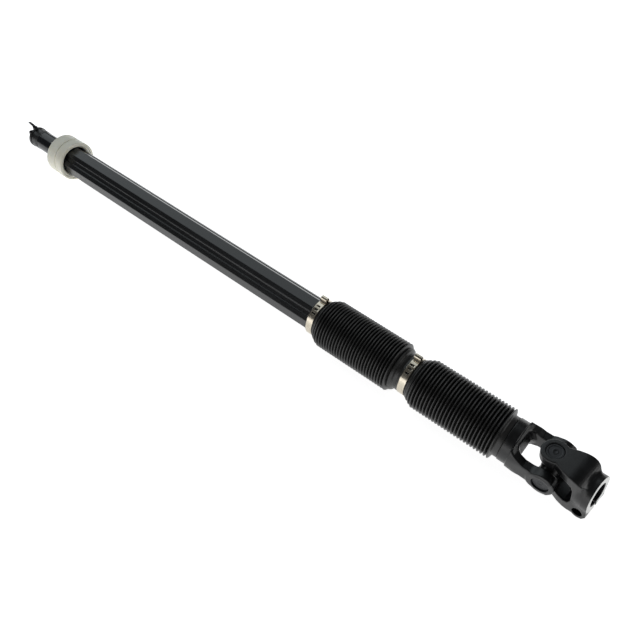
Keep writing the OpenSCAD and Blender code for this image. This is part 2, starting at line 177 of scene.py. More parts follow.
# %% Material helpers
def light(hex_colour):
    """sRGB hex to linear: c/12.92 below 0.04045, else ((c+0.055)/1.055)^2.4."""
    c = np.array([int(hex_colour[i : i + 2], 16) for i in (1, 3, 5)]) / 255
    return (*np.where(c <= 0.04045, c / 12.92, ((c + 0.055) / 1.055) ** 2.4), 1.0)


def add(tree, kind, settings=None, inputs=None):
    """A node of one kind. settings are its properties; inputs are socket values or links."""
    node = tree.nodes.new(kind)
    for key, value in (settings or {}).items():
        setattr(node, key, value)
    for key, value in (inputs or {}).items():
        if isinstance(value, bpy.types.NodeSocket):
            tree.links.new(value, node.inputs[key])
        else:
            node.inputs[key].default_value = value
    return node


def blank(name, **shader_inputs):
    """An empty material with one Principled shader: returns it, its tree, shader and Object coordinates."""
    material = bpy.data.materials.new(name)
    material.use_nodes = True
    tree = material.node_tree
    shader = tree.nodes["Principled BSDF"]
    for key, value in shader_inputs.items():
        shader.inputs[key.replace("_", " ")].default_value = value
    place = add(tree, "ShaderNodeTexCoord").outputs["Object"]
    return material, tree, shader, place


def noise(tree, place, size_mm, detail=3.0, stretch=(1, 1, 1)):
    """Noise with features about size_mm across, drawn out along an axis by stretch."""
    scaled = add(tree, "ShaderNodeMapping", inputs={"Vector": place, "Scale": [1 / s for s in stretch]})
    sockets = {"Vector": scaled.outputs[0], "Scale": 1 / (size_mm * MM), "Detail": detail}
    return add(tree, "ShaderNodeTexNoise", inputs=sockets).outputs["Fac"]


def ramp(tree, value, low, high, from_min=0.3, from_max=0.7):
    """A value carried from one range to another."""
    limits = {0: value, 1: from_min, 2: from_max, 3: low, 4: high}
    return add(tree, "ShaderNodeMapRange", inputs=limits).outputs[0]


def colour(tree, shader, pattern, dark, pale):
    """Paints between two hex colours as a pattern goes from its darkest to its palest."""
    shade = {0: ramp(tree, pattern, 0, 1), 6: light(dark), 7: light(pale)}
    mixed = add(tree, "ShaderNodeMix", {"data_type": "RGBA"}, shade)
    tree.links.new(mixed.outputs[2], shader.inputs["Base Color"])


def gloss(tree, shader, pattern, low, high):
    """Lets the roughness follow a pattern, from low to high."""
    tree.links.new(ramp(tree, pattern, low, high), shader.inputs["Roughness"])


def roughen(tree, shader, height, depth_mm):
    """Tilts the shading as a relief depth_mm deep would."""
    relief = {"Height": height, "Distance": depth_mm * MM, "Strength": 1.0}
    bump = add(tree, "ShaderNodeBump", inputs=relief)
    tree.links.new(bump.outputs[0], shader.inputs["Normal"])


# %% [markdown]
# ## Black coated tube
# The tube is drawn steel under a thin baked black coat. Drawing leaves faint lines
# along the length, which the coat only half hides, so the sheen runs in long streaks.

# %% Tube coat
tube_coat, tree, shader, place = blank("black baked coat on drawn steel", IOR=1.5)
streaks = noise(tree, place, 0.9, 2, (90, 1, 1))
cloud = noise(tree, place, 14, 4, (3, 1, 1))
colour(tree, shader, cloud, "#0e0f11", "#16181a")
gloss(tree, shader, streaks, 0.22, 0.28)
roughen(tree, shader, streaks, 0.004)

# %% [markdown]
# ## Forged steel under a phosphate coat
# A drop forging comes out with a fine, shot-blasted grain and soft corners. The
# phosphate and oil that follow turn it nearly black, and leave it satin, not glossy.

# %% Forging finish
forging_coat, tree, shader, place = blank("phosphated forging", IOR=1.48)
grain = noise(tree, place, 0.7, 4)
patches = noise(tree, place, 9, 3)
colour(tree, shader, patches, "#08090a", "#111214")
gloss(tree, shader, patches, 0.28, 0.38)
roughen(tree, shader, grain, 0.06)

# faced on a lathe: the tool marks blur into one pale, even sheen, so noise stands for them
cut_steel, tree, shader, place = blank("face-turned bare steel", Metallic=1.0, Roughness=0.34)
rings = noise(tree, place, 0.35, 2)
colour(tree, shader, rings, "#a9aaa9", "#c4c4c1")
roughen(tree, shader, rings, 0.01)

# deep drawn and hardened: dark grey and satin, with slow clouds from the quench
cup_steel, tree, shader, place = blank("drawn bearing cup steel", Metallic=0.3, IOR=1.5)
cup_cloud = noise(tree, place, 2.5, 4)
colour(tree, shader, cup_cloud, "#1c1d20", "#2b2d30")
gloss(tree, shader, cup_cloud, 0.32, 0.46)
roughen(tree, shader, cup_cloud, 0.02)

# ground along its length, which leaves fine bright lines that way
ground_steel, tree, shader, place = blank("ground shaft steel", Metallic=1.0)
ground = noise(tree, place, 0.4, 2, (40, 1, 1))
colour(tree, shader, ground, "#8d8f90", "#a9abab")
gloss(tree, shader, ground, 0.2, 0.34)

# blackened and oiled over turning marks that run round the shaft, so it is the glossiest
# black here; the marks are drawn coarser than real ones, or they would not show
oiled_steel, tree, shader, place = blank("black oxide turned steel", IOR=1.5)
turned_marks = noise(tree, place, 0.6, 2, (1, 30, 30))
colour(tree, shader, turned_marks, "#0b0d10", "#12151a")
gloss(tree, shader, turned_marks, 0.15, 0.21)
roughen(tree, shader, turned_marks, 0.006)

# %% [markdown]
# ## Rubber, nylon and moulded plastic
# Moulded rubber is black through and through, a little greasy where it bulges. Cast
# nylon is cream, lets light a little way in, and keeps fine turning marks. The cap and
# tie are polyethylene and nylon, black and waxy.

# %% Polymer finishes
# the mould's satin face, with a faint bloom that greys it in patches
bellows_rubber, tree, shader, place = blank("moulded chloroprene rubber", IOR=1.52)
greasy = noise(tree, place, 1.6, 4)
bloom = noise(tree, place, 22, 3)
colour(tree, shader, bloom, "#181818", "#222221")
gloss(tree, shader, greasy, 0.34, 0.46)
roughen(tree, shader, greasy, 0.03)

# light goes a millimetre or two in, so its edges glow; turning marks are drawn coarse
ring_nylon, tree, shader, place = blank(
    "cast nylon", IOR=1.53, Subsurface_Weight=0.25, Subsurface_Scale=0.002
)
shader.inputs["Subsurface Radius"].default_value = (1.0, 0.85, 0.6)
turning = noise(tree, place, 0.5, 2, (1, 30, 30))
tint = noise(tree, place, 12, 3)
colour(tree, shader, tint, "#d6d4c4", "#e5e3d6")
gloss(tree, shader, turning, 0.38, 0.52)
roughen(tree, shader, turning, 0.03)

# soft and waxy, with the slight waves of a thin moulding
black_plastic, tree, shader, place = blank("black polyethylene", IOR=1.5)
waxy = noise(tree, place, 3, 4)
colour(tree, shader, waxy, "#0b0c0d", "#131416")
gloss(tree, shader, waxy, 0.3, 0.46)
roughen(tree, shader, waxy, 0.08)

# smooth, milky and hidden inside the tube
liner_acetal, tree, shader, place = blank("white acetal", IOR=1.48)
acetal_tint = noise(tree, place, 6, 2)
colour(tree, shader, acetal_tint, "#dcdcd6", "#ecece8")
gloss(tree, shader, acetal_tint, 0.34, 0.44)

# %% [markdown]
# ## Stainless band
# The clamps are slit from bright rolled strip. Rolling and then bending leaves hair
# lines along the strip, that is, round the shaft: noise is drawn out round the axis.

# %% Band finish
band_steel, tree, shader, place = blank("bright rolled stainless strip", Metallic=1.0)
hair_lines = noise(tree, place, 0.35, 2, (1, 14, 14))
colour(tree, shader, hair_lines, "#b3aa99", "#d6cfc0")
gloss(tree, shader, hair_lines, 0.16, 0.3)
roughen(tree, shader, hair_lines, 0.008)
print(len(bpy.data.materials), "materials")

# %% [markdown]
# ## The profile tube
# Eight flats: four plain ones, and four at 45 degrees that each carry a shallow
# groove. The outline is where two squares cross. Its corners and the groove's lips are
# rounded, as the drawing die leaves them, because a real edge catches a thin light.

# %% Tube section
def eight_sided(plain, grooved, notch, depth, slope=0.0):
    """Corners of the outline, flat by flat: a plain flat ends at half width
    grooved*sqrt2 - plain, then a grooved flat runs to the next, with its notch, whose
    walls lean outward by slope."""
    half = grooved * math.sqrt(2) - plain
    quarter = [(plain, half)]
    u, v = np.array([1, 1]) / math.sqrt(2), np.array([-1, 1]) / math.sqrt(2)
    for along, out in (
        (-notch / 2, grooved), (slope - notch / 2, grooved - depth), (notch / 2 - slope, grooved - depth),
        (notch / 2, grooved)
    ):
        quarter.append(tuple(u * out + v * along))
    quarter.append((half, plain))
    turns = np.arange(4) * np.pi / 2
    q = np.array(quarter)
    c, s = np.cos(turns)[:, None], np.sin(turns)[:, None]
    return np.stack([q[:, 0] * c - q[:, 1] * s, q[:, 0] * s + q[:, 1] * c], -1).reshape(-1, 2)


def swept(sections, places):
    """Sections of (y, z), one for each place along X."""
    x = np.broadcast_to(np.asarray(places, float)[:, None, None], (len(places), len(sections[0]), 1))
    return np.concatenate([x, np.stack(sections)], -1)


tube_low, tube_high = span("profile_tube")
plain_flat, grooved_flat, wall = 19.1, 18.0, 3.2
groove_width, key_width, groove_depth, lip_slope = 6.4, 5.0, 1.2, 0.8
outside = soften(eight_sided(plain_flat, grooved_flat, groove_width, groove_depth, lip_slope), 0.5)
inside = soften(eight_sided(plain_flat - wall, grooved_flat - wall, key_width, groove_depth), 0.3)
x0, x1 = tube_low[0], tube_high[0]
chamfered = outside * 0.985
# a second section lies close behind each chamfer, so that the flats between shade truly flat
tube_points = swept(
    [chamfered, outside, outside, outside, outside, chamfered, inside, inside],
    [x0, x0 + 0.4, x0 + 1.2, x1 - 1.2, x1 - 0.4, x1, x1, x0],
)
make_piece(
    "profile_tube_drawn", tube_points, grid_faces(*tube_points.shape[:2]), [tube_coat], "upper_shaft",
    node="profile_tube", slot="black_coat"
)

# %% [markdown]
# ## The round end, its cap and the nylon ring
# All three are lathe work, so each is a closed profile of place and radius. The ring
# has a groove and a stepped, chamfered mouth round the tube. The cap is soft and thin:
# a few ripples round its wall, and it is drawn in under the tie.

# %% Turned parts at the far end
s0 = span("upper_stub")[0][0]
stub = soften(
    [
        (s0, 0), (s0, 11.1), (s0 + 1.5, 12.6), (s0 + 16.3, 12.6), (s0 + 16.3, 13.5),
        (-14, 13.5), (-11, 17.6), (-10, 17.6), (-10, 0),
    ],
    [0, 0.5, 0.5, 0.2, 0.4, 0.6, 0.3, 0.3, 0],
)
turned_piece("round_end", stub, [oiled_steel], "upper_shaft", node="upper_stub", slot="phosphate")

h = span("bearing_ring")[1][0]
ring = soften(
    [
        (-h, 21.1), (-h, 27.2), (1.7, 27.2), (1.7, 26.4), (3.3, 26.4), (3.3, 27.5), (h, 27.5), (h, 24.3),
        (h - 0.8, 24.0), (h - 0.8, 22.3), (h - 1.6, 21.4), (h - 2.6, 20.3), (1 - h, 20.3)
    ],
    [0.5, 0.9, 0.2, 0.15, 0.15, 0.3, 0.8, 0.3, 0.2, 0.3, 0.3, 0.4, 0.4],
)
turned_piece(
    "nylon_ring", ring, [ring_nylon], "upper_shaft", around=160, node="bearing_ring", slot="nylon"
)

cap_low, cap_high = span("end_cap")
c0, c1 = cap_low[0], cap_high[0]
cap = soften(
    [
        (c0, 0), (c0 + 0.3, 8), (c0 + 0.6, 11.4), (c0 + 1.6, 13.6), (c0 + 1.5, 13.85), (c0 + 2.0, 13.2),
        (c0 + 5.6, 13.2), (c0 + 6.3, 13.85), (c1 - 3.5, 13.85), (c1 - 2.9, 13.5), (c1 - 2.0, 13.85),
        (c1, 13.8), (c1, 12.68), (c0 + 3.02, 12.68), (c0 + 3.02, 0)
    ],
    [0, 1.5, 1.0, 0.4, 0.2, 0.3, 0.3, 0.3, 0.3, 0.3, 0.3, 0.3, 0.1, 0.1, 0],
)
cap_points = turned(cap, 144)
angle = np.arctan2(cap_points[..., 2], cap_points[..., 1])
shell = (cap[:, 1] > 13.1)[:, None]
ripple = 0.10 * np.sin(7 * angle + 0.9) + 0.07 * np.sin(13 * angle + cap[:, 0][:, None] * 0.5)
pinch_turn = (angle - math.radians(122) + np.pi) % (2 * np.pi) - np.pi
pinch = 3.6 * np.exp(-((pinch_turn / 0.2) ** 2)) * np.exp(-(((cap[:, 0] - c0 - 1.6) / 1.5) ** 2))[:, None]
scale = np.where(shell, 1 + (pinch - 0.17 - ripple) / 14, 1)
cap_points[..., 1:] *= scale[..., None]
make_piece(
    "soft_cap", cap_points, grid_faces(*cap_points.shape[:2]), [black_plastic], "upper_shaft",
    node="end_cap", slot="black_plastic"
)

# %% [markdown]
# ## The cable tie
# A strap, a small square head, and the tail that was pulled through it, cut, and left twisted. The
# strap and tail are sweeps of a small rounded section along a path.

# %% Tie
def rounded_bar(path, across, up, width, thick, steps=3):
    """A rounded rectangle, width along across and thick along up, at each point of a path."""
    section = soften(
        [
            (-width / 2, -thick / 2), (width / 2, -thick / 2), (width / 2, thick / 2),
            (-width / 2, thick / 2)
        ],
        min(width, thick) * 0.25, steps, 0.1
    )
    return path[:, None] + section[None, :, :1] * across[:, None] + section[None, :, 1:] * up[:, None]


def cap_ends(points):
    """Shrinks an extra section onto each end's centre, so that a sweep is closed."""
    first, last = points[0].mean(0), points[-1].mean(0)
    return np.concatenate(
        [
            np.broadcast_to(first, (1,) + points[0].shape), points,
            np.broadcast_to(last, (1,) + points[0].shape)
        ]
    )


tie_x = c0 + 3.8
seat = 13.17
a = np.linspace(0, 2 * np.pi, 120, endpoint=False)
loop = np.stack([np.full_like(a, tie_x), -np.sin(a) * (seat + 0.6), np.cos(a) * (seat + 0.6)], -1)
outward = np.stack([0 * a, -np.sin(a), np.cos(a)], -1)
along_x = np.broadcast_to([1.0, 0, 0], loop.shape)
strap = rounded_bar(loop, along_x, outward, 3.9, 1.0)
make_piece(
    "tie_strap", strap, grid_faces(*strap.shape[:2]), [black_plastic], "upper_shaft", node="cable_tie",
    slot="black_plastic"
)


def tie_point(x, side, out):
    """A point by its way along X from the strap, sideways, and out from the axis."""
    x, side, out = np.broadcast_arrays(
        np.asarray(x, float), np.asarray(side, float), np.asarray(out, float)
    )
    return np.stack([tie_x + x, side, out], -1)


levels = np.array([seat + 0.3, seat + 0.7, seat + 1.4, seat + 3.2, seat + 4.2, seat + 4.6])
swell = np.array([0.8, 0.97, 1, 1, 0.95, 0.78])
head_path = tie_point(0 * levels, 0 * levels, levels)
side_axis = (tie_point(0, 1, 0) - tie_point(0, 0, 0))[None]
head = rounded_bar(head_path, along_x[:6] * swell[:, None], side_axis * swell[:, None], 5.6, 6.0, 4)
head = cap_ends(head)
make_piece(
    "tie_head", head, grid_faces(head.shape[0], head.shape[1], close_rows=False), [black_plastic],
    "upper_shaft", slot="black_plastic"
)

t = np.linspace(0, 1, 40)
bend = 0.4 - 6.0 * t + 0.6 * np.sin(np.pi * t)
tail_path = tie_point(0.3 * t, bend, seat + 1.5 + 14.1 * t)
tooth = 0.55 + 0.1 * (np.arange(40) % 2)
twist = math.radians(62) * np.clip(t / 0.3, 0, 1)[:, None]
flat_way = along_x[:40] * np.cos(twist) + side_axis * np.sin(twist)
thin_way = side_axis * np.cos(twist) - along_x[:40] * np.sin(twist)
tail = cap_ends(
    rounded_bar(tail_path, flat_way * (1 - 0.35 * t**3)[:, None], thin_way * tooth[:, None], 4.2, 2.4)
)
make_piece(
    "tie_tail", tail, grid_faces(tail.shape[0], tail.shape[1], close_rows=False), [black_plastic],
    "upper_shaft", slot="black_plastic"
)

# %% [markdown]
# ## The bellows
# Two moulded rubber gaiters. Each fold is a round crest between two tight valleys,
# which a cosine raised to a power below one draws well. Smaller folds lead in at one
# end, and a smooth cone or cuff finishes the other. The inside wall follows the
# outside at the rubber's thickness, so the gaiter is a closed skin.

# %% Bellows
FOLD_R, DEPTH, WALL = 29.4, 5.0, 1.7
PER_FOLD = 10


def folds(first, count, pitch, low, high):
    """Radius over phase p of each fold: low + (high - low) |cos(pi p)|^0.8, p from -1/2 to 1/2."""
    phase = (np.arange(count * PER_FOLD) / PER_FOLD) - 0.5
    x = first + phase * pitch
    shape = np.sqrt(np.cos(np.pi * phase) ** 2 + 0.004) ** 0.85
    return np.stack([x, low + (high - low) * np.minimum(shape, 1)], -1)


def smooth_curve(knots, count):
    """A curve through knots of (x, r) with no overshoot: cosine steps between them."""
    k = np.asarray(knots, float)
    x = np.linspace(k[0, 0], k[-1, 0], count)
    i = np.clip(np.searchsorted(k[:, 0], x, side="right") - 1, 0, len(k) - 2)
    u = (x - k[i, 0]) / (k[i + 1, 0] - k[i, 0])
    return np.stack([x, k[i, 1] + (k[i + 1, 1] - k[i, 1]) * (1 - np.cos(np.pi * u)) / 2], -1)


def lead(first, tops, pitch):
    """The small folds ahead of the first full one: each has its own crest radius."""
    parts = []
    for i, top in enumerate(tops):
        ahead = len(tops) - i
        parts.append(folds(first - ahead * pitch, 1, pitch, FOLD_R - DEPTH - 0.4 * ahead, top))
    return np.concatenate(parts)


def bellows(name, outside, inside, node, around=112):
    """A closed skin of revolution, turned from the outside profile and the inside one reversed."""
    profile = np.concatenate([outside, inside[::-1]])
    points = turned(profile, around)
    piece = make_piece(
        name, points, grid_faces(*points.shape[:2]), [bellows_rubber], None, node=node, slot="rubber",
        sharp=60
    )
    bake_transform(piece)
    return piece


clamp_1 = (span("clamp_1")[0][0] + span("clamp_1")[1][0]) / 2
clamp_2 = (span("clamp_2")[0][0] + span("clamp_2")[1][0]) / 2
hub_face = 704.1
up_first, up_count, up_pitch = clamp_1 + 16.5, 26, 3.7
up_last = up_first + (up_count - 1) * up_pitch
u0 = span("upper_bellows")[0][0]
up_out = np.concatenate([
    [[u0, 21.1], [u0, 21.75], [u0 + 0.25, 21.92], [clamp_1 + 4.2, 21.92]],
    smooth_curve([(clamp_1 + 4.4, 21.95), (up_first - 10.2, 24.2)], 5),
    lead(up_first, [25.8, 28.2], 3.9),
    folds(up_first, up_count, up_pitch, FOLD_R - DEPTH, FOLD_R),
    smooth_curve(
        [
            (up_last + 2.1, 24.6), (up_last + 3.7, 26.2), (up_last + 5.6, 25.2), (clamp_2 - 10.4, 22.2),
            (clamp_2 - 6, 21.17)
        ],
        24
    ),
    [[clamp_2 + 5.8, 21.17], [clamp_2 + 6, 21.0]],
])
up_in = np.concatenate([
    [[u0, 20.97], [clamp_1 + 5, 20.97]],
    smooth_curve([(clamp_1 + 5.5, 20.97), (up_first - 2, 22.9)], 4),
    folds(up_first, up_count, up_pitch, FOLD_R - DEPTH - WALL, FOLD_R - WALL)[::2],
    smooth_curve([(up_last + 2.2, 22.9), (clamp_2 - 9.5, 20.8), (clamp_2 - 6, 20.22)], 5),
    [[clamp_2 + 6, 20.22]],
])
bellows(
    "upper_gaiter", up_out, up_in,
    "upper_bellows"
)

low_first, low_count, low_pitch = clamp_2 + 17.3, 25, 3.9
low_last = low_first + (low_count - 1) * low_pitch
n0 = span("lower_bellows")[0][0]
low_out = np.concatenate([
    [[n0, 21.3], [n0, 21.95], [n0 + 0.2, 22.14], [clamp_2 + 4.2, 22.14]],
    smooth_curve([(clamp_2 + 4.4, 22.2), (low_first - 10.2, 24.0)], 5),
    lead(low_first, [25.6, 27.8], 3.9),
    folds(low_first, low_count, low_pitch, FOLD_R - DEPTH, FOLD_R),
    smooth_curve([(low_last + 2.2, 24.3), (low_last + 3.0, 23.7)], 4),
    [[hub_face - 0.45, 23.7], [hub_face - 0.05, 23.3]],
])
low_in = np.concatenate([
    [[n0, 21.19], [clamp_2 + 5, 21.19]],
    smooth_curve([(clamp_2 + 5.5, 21.19), (low_first - 2, 22.9)], 4),
    folds(low_first, low_count, low_pitch, FOLD_R - DEPTH - WALL, FOLD_R - WALL)[::2],
    smooth_curve([(low_last + 2.0, 22.9), (low_last + 3.0, 21.04)], 4),
    [[hub_face - 0.05, 21.03]],
])
bellows(
    "lower_gaiter", low_out, low_in,
    "lower_bellows"
)

# %% [markdown]
# ## The ear clamps
# Each is one strip of stainless: it goes once round, rises into the ear that the
# pincers crimp, and runs on over itself to its outer end. Windows in the outer layer
# would hook over tabs below, which are not drawn. The strip's middle line is a path in
# the cross section, swept along X by the strip's width, and Solidify gives it the
# sheet's thickness.

# %% Ear clamps
def ear_clamp(name, node, body, middle, radius):
    """The strip's path in the cross section: a full circle; a foot, two legs and a round
    loop for the ear; then an arc that laps back. Each point of the path carries a row
    of points across the strip's width."""
    width, sheet = 8.0, 0.68
    ear_turn, lap = 16.0, 77.0
    base, over = radius + 0.35, radius + 1.08
    # one closed layer round the shaft, under everything
    a = np.radians(np.linspace(0, 360, 181))
    ring_yz = np.stack([base * np.sin(a), base * np.cos(a)], -1)
    # the ear and the outer layer, drawn with the ear at the top and turned at the end
    t = np.radians(np.linspace(0, 1, 9) * 6 + 8.5)[::-1]
    foot = np.stack([(over + 0.02) * np.sin(t), (over + 0.02) * np.cos(t)], -1)
    loop = np.radians(np.linspace(-52, 232, 29))
    top = radius + 8.0 - 2.95
    loop_yz = np.stack([2.6 * np.cos(loop), top + 2.6 * np.sin(loop)], -1)
    s = np.linspace(0, 1, 6)[1:-1][:, None]
    right_leg = foot[-1] + (loop_yz[0] - foot[-1]) * s
    lap_a = np.radians(-np.linspace(7.5, lap, 60))
    lap_yz = np.stack([over * np.sin(lap_a), over * np.cos(lap_a)], -1)
    left_leg = loop_yz[-1] + (lap_yz[0] - loop_yz[-1]) * s
    outer_yz = np.concatenate([foot, right_leg, loop_yz, left_leg, lap_yz])
    w = np.array([-4, -3.85, -2.2, -2.1, 0, 2.1, 2.2, 3.85, 4.0]) / 4 * width / 2

    def strip(yz, shape_end):
        """The path turned by the ear's angle, with its width along X; the outer end tapers."""
        c, s = math.cos(math.radians(-ear_turn)), math.sin(math.radians(-ear_turn))
        y, z = yz[:, 0] * c - yz[:, 1] * s, yz[:, 0] * s + yz[:, 1] * c
        n = len(yz)
        x = np.broadcast_to(w[None], (n, len(w))).copy()
        if shape_end:
            k = np.clip((np.arange(n) - (n - 5)) / 4, 0, 1)[:, None]
            x *= 1 - 0.42 * k**2
        return np.stack(np.broadcast_arrays(middle + x, y[:, None], z[:, None]), -1)

    for part, yz, is_outer in (("band", ring_yz[:-1], False), ("ear", outer_yz, True)):
        points = strip(yz, is_outer)
        faces = grid_faces(points.shape[0], points.shape[1], close_rows=not is_outer, close_columns=False)
        row, column = faces[:, 0] // len(w), faces[:, 0] % len(w)
        back_turn = (row - len(outer_yz) + 60) * (lap - 7.5) / 59 + 7.5 if is_outer else 360 - 2 * row
        window = np.abs(back_turn[:, None] - [24, 36.5, 49]).min(1) < 3.1
        faces = faces[~(window & (column >= 2) & (column <= 5))]
        piece = make_piece(
            f"{name}_{part}", points, faces, [band_steel], body, node=node if not is_outer else None,
            slot="band_steel", sharp=50
        )
        wall = piece.modifiers.new("sheet", "SOLIDIFY")
        wall.thickness, wall.offset = sheet * MM, 0
        edge = piece.modifiers.new("deburred", "BEVEL")
        edge.width, edge.segments, edge.limit_method = 0.12 * MM, 2, "ANGLE"


ear_clamp("clamp_one", "clamp_1", "upper_shaft", clamp_1, 21.94)
ear_clamp("clamp_two", "clamp_2", "mid_guide", clamp_2, 22.16)

# %% [markdown]
# ## Forgings as distance fields
# A forging has no sharp edge outside its machined faces: every shape flows into the
# next. That is hard to build from flat pieces, but easy from distances. Each simple
# solid is a function that says how far a point is from its surface, negative inside.
# The smaller of two distances joins them, the larger crosses them, and easing between
# the two over a few millimetres gives the fillet. The surface is then where the
# distance is zero, found on a fine grid of points.

# %% Distance functions
def ease_min(a, b, k):
    """The smaller of a and b, rounded by k: min(a, b) - max(k - |a - b|, 0)^2 / (4k)."""
    return np.minimum(a, b) - np.maximum(k - np.abs(a - b), 0) ** 2 / (4 * k)


def ease_max(a, b, k):
    """The larger of a and b, rounded by k: the smaller of their opposites, turned back."""
    return -ease_min(-a, -b, k)


def rod(u, v, radius):
    """Distance to an endless rod through the origin: sqrt(u^2 + v^2) - radius."""
    return np.sqrt(u * u + v * v) - radius


def slab(u, low, high):
    """Distance to the space between two planes: |u - middle| - half."""
    return np.abs(u - (low + high) / 2) - (high - low) / 2


def outline(u, v, corners):
    """Distance to a flat polygon drawn out without end: the nearest edge, negative
    where a point is inside by the crossing rule."""
    p = np.asarray(corners, float)
    nearest = np.full(u.shape, 1e9)
    inside = np.zeros(u.shape, bool)
    for (ax, ay), (bx, by) in zip(p, np.roll(p, -1, 0)):
        ex, ey = bx - ax, by - ay
        wx, wy = u - ax, v - ay
        t = np.clip((wx * ex + wy * ey) / (ex * ex + ey * ey), 0, 1)
        nearest = np.minimum(nearest, (wx - ex * t) ** 2 + (wy - ey * t) ** 2)
        crosses = ((ay > v) != (by > v)) & (u < ex * (v - ay) / (ey if ey else 1e-9) + ax)
        inside ^= crosses
    return np.where(inside, -1, 1) * np.sqrt(nearest)


def skin(distance, low, high, step):
    """Points and quads of the zero surface, by surface nets. A grid cell whose corners
    differ in sign gets one point, the mean of its edges' crossings. Each grid edge that
    crosses the surface joins the points of its four cells. Every point is then moved
    onto the surface: p - d(p) * gradient / |gradient|^2."""
    axes = [np.arange(a, b + step, step) for a, b in zip(low, high)]
    d = distance(*np.meshgrid(*axes, indexing="ij"))
    n = np.array(d.shape)
    solid = d < 0

    def corner(field, o):
        """The field at one corner of every cell."""
        return field[o[0] : n[0] - 1 + o[0], o[1] : n[1] - 1 + o[1], o[2] : n[2] - 1 + o[2]]

    offsets = [(i, j, k) for i in (0, 1) for j in (0, 1) for k in (0, 1)]
    count = sum(corner(solid, o).astype(np.int8) for o in offsets)
    cells = (count > 0) & (count < 8)
    index = np.full(cells.shape, -1)
    index[cells] = np.arange(cells.sum())
    place = np.zeros((cells.sum(), 3))
    hits = np.zeros(cells.sum())
    for axis in range(3):
        for o in offsets:
            if o[axis]:
                continue
            far = tuple(v + (i == axis) for i, v in enumerate(o))
            p, q = corner(d, o)[cells], corner(d, far)[cells]
            cut = (p < 0) != (q < 0)
            t = np.where(cut, p / np.where(cut, p - q, 1), 0)
            place += np.where(cut[:, None], np.array(o, float) + t[:, None] * np.eye(3)[axis], 0)
            hits += cut
    where = np.argwhere(cells)
    points = (where + place / hits[:, None]) * step + np.array([a[0] for a in axes])
    quads = []
    for axis in range(3):
        other = [i for i in range(3) if i != axis]
        a = [slice(1, n[i] - 1) for i in range(3)]
        b = list(a)
        a[axis], b[axis] = slice(0, n[axis] - 1), slice(1, n[axis])
        changes = solid[tuple(a)] != solid[tuple(b)]
        at = np.argwhere(changes) + [0 if i == axis else 1 for i in range(3)]
        ring = []
        for u, v in ((-1, -1), (0, -1), (0, 0), (-1, 0)):
            c = at.copy()
            c[:, other[0]] += u
            c[:, other[1]] += v
            ring.append(index[tuple(c.T)])
        quads.append(np.stack(ring, -1))
    quads = np.concatenate(quads)
    h = 0.02
    for _ in range(4):
        here = distance(*points.T)
        slope = np.stack(
            [
                (
                    distance(*(points + h * e).T) - distance(*(points - h * e).T)
                ) / (2 * h) for e in np.eye(3)
            ],
            -1
        )
        move = here / np.maximum((slope**2).sum(1), 0.2)
        points = points - np.clip(move, -0.4 * step, 0.4 * step)[:, None] * slope
    return points, quads[(quads >= 0).all(1)]


# %% [markdown]
# ## The inner yoke
# A round hub, shoulders that swell out of it, and two arms that run forward round an
# open window to the bearing eyes. The arms are straps: flat-sided above and below,
# round outside. Last come the cuts: the bores for the bearing cups.

# %% Inner yoke
CROSS = 752.5
PITCH, YAW = math.radians(9), math.radians(5.5)
CUP_R, CUP_END, EAR_IN, EAR_OUT, EAR_R = 9.1, 25.0, 15.4, 26.2, 14.0
HUB0, HUB1 = hub_face - CROSS, hub_face + 10 - CROSS


def inner_yoke_distance(x, y, z):
    """Hub, spigot, arms and eyes joined; then the window and the cup bores cut."""
    radius = np.sqrt(y * y + z * z)
    hub = ease_max(radius - 24.5, slab(x, HUB0, HUB1 + 0.2), 0.8)
    spigot = ease_max(radius - 21.0, slab(x, -62.3, HUB0 + 2), 0.6)
    swell = outline(
        x, radius,
        [
            (HUB0 + 4, -40), (HUB0 + 4, 24), (HUB1 + 0.1, 24), (HUB1 + 0.1, 26.1), (-22, 27.6),
            (12, 27.6), (12, -40)
        ]
    )
    flat = outline(
        x, np.abs(z),
        [
            (HUB0 + 2, -40), (HUB0 + 2, 17), (HUB1, 16.5), (HUB1 + 5, 13.4), (-27, 11.2), (-22, 9.1),
            (20, 8.8), (20, -40)
        ]
    )
    side = outline(
        x, np.abs(y),
        [(HUB0 + 2, -40), (HUB0 + 2, 25.9), (HUB1, 25.9), (-24, 25.7), (0, 26.1), (8, 26.1), (8, -40)]
    )
    arms = ease_max(ease_max(swell, flat, 1.8), side, 1.2)
    ear = ease_max(rod(x, z, EAR_R), slab(np.abs(y), EAR_IN, EAR_OUT), 1.4)
    body = ease_min(ease_min(hub, arms, 0.8), spigot, 0.5)
    body = ease_min(body, ear, 3.5)
    draft = 0.42 * np.clip(np.abs(z) - 2, 0, 12) * np.clip((-18 - x) / 8, 0, 1)
    window = outline(
        x + draft, np.abs(y),
        [(-30, -40), (-30, 9.5), (-28.6, 12.9), (-25.2, 15.0), (-21, 15.4), (30, 15.4), (30, -40)]
    )
    body = ease_max(body, -window, 1.4)
    return ease_max(body, -rod(x, z, CUP_R + 0.03), 0.5)


points, quads = skin(inner_yoke_distance, (-63, -28, -26.5), (15.5, 28, 26.5), 0.58)
points = points + [CROSS, 0, 0]


def forged_or_cut(centres, normals):
    """Machined where a bore was cut, forged elsewhere."""
    x, y, z = (centres - [CROSS, 0, 0]).T
    return ((np.hypot(x, z) < CUP_R + 0.2) & (np.abs(y) > 14)).astype(int)


make_piece(
    "inner_yoke_forging", points, quads, [forging_coat, cup_steel], "lower_shaft", node="inner_yoke",
    slot="forging", finish_of=forged_or_cut, sharp=75
)

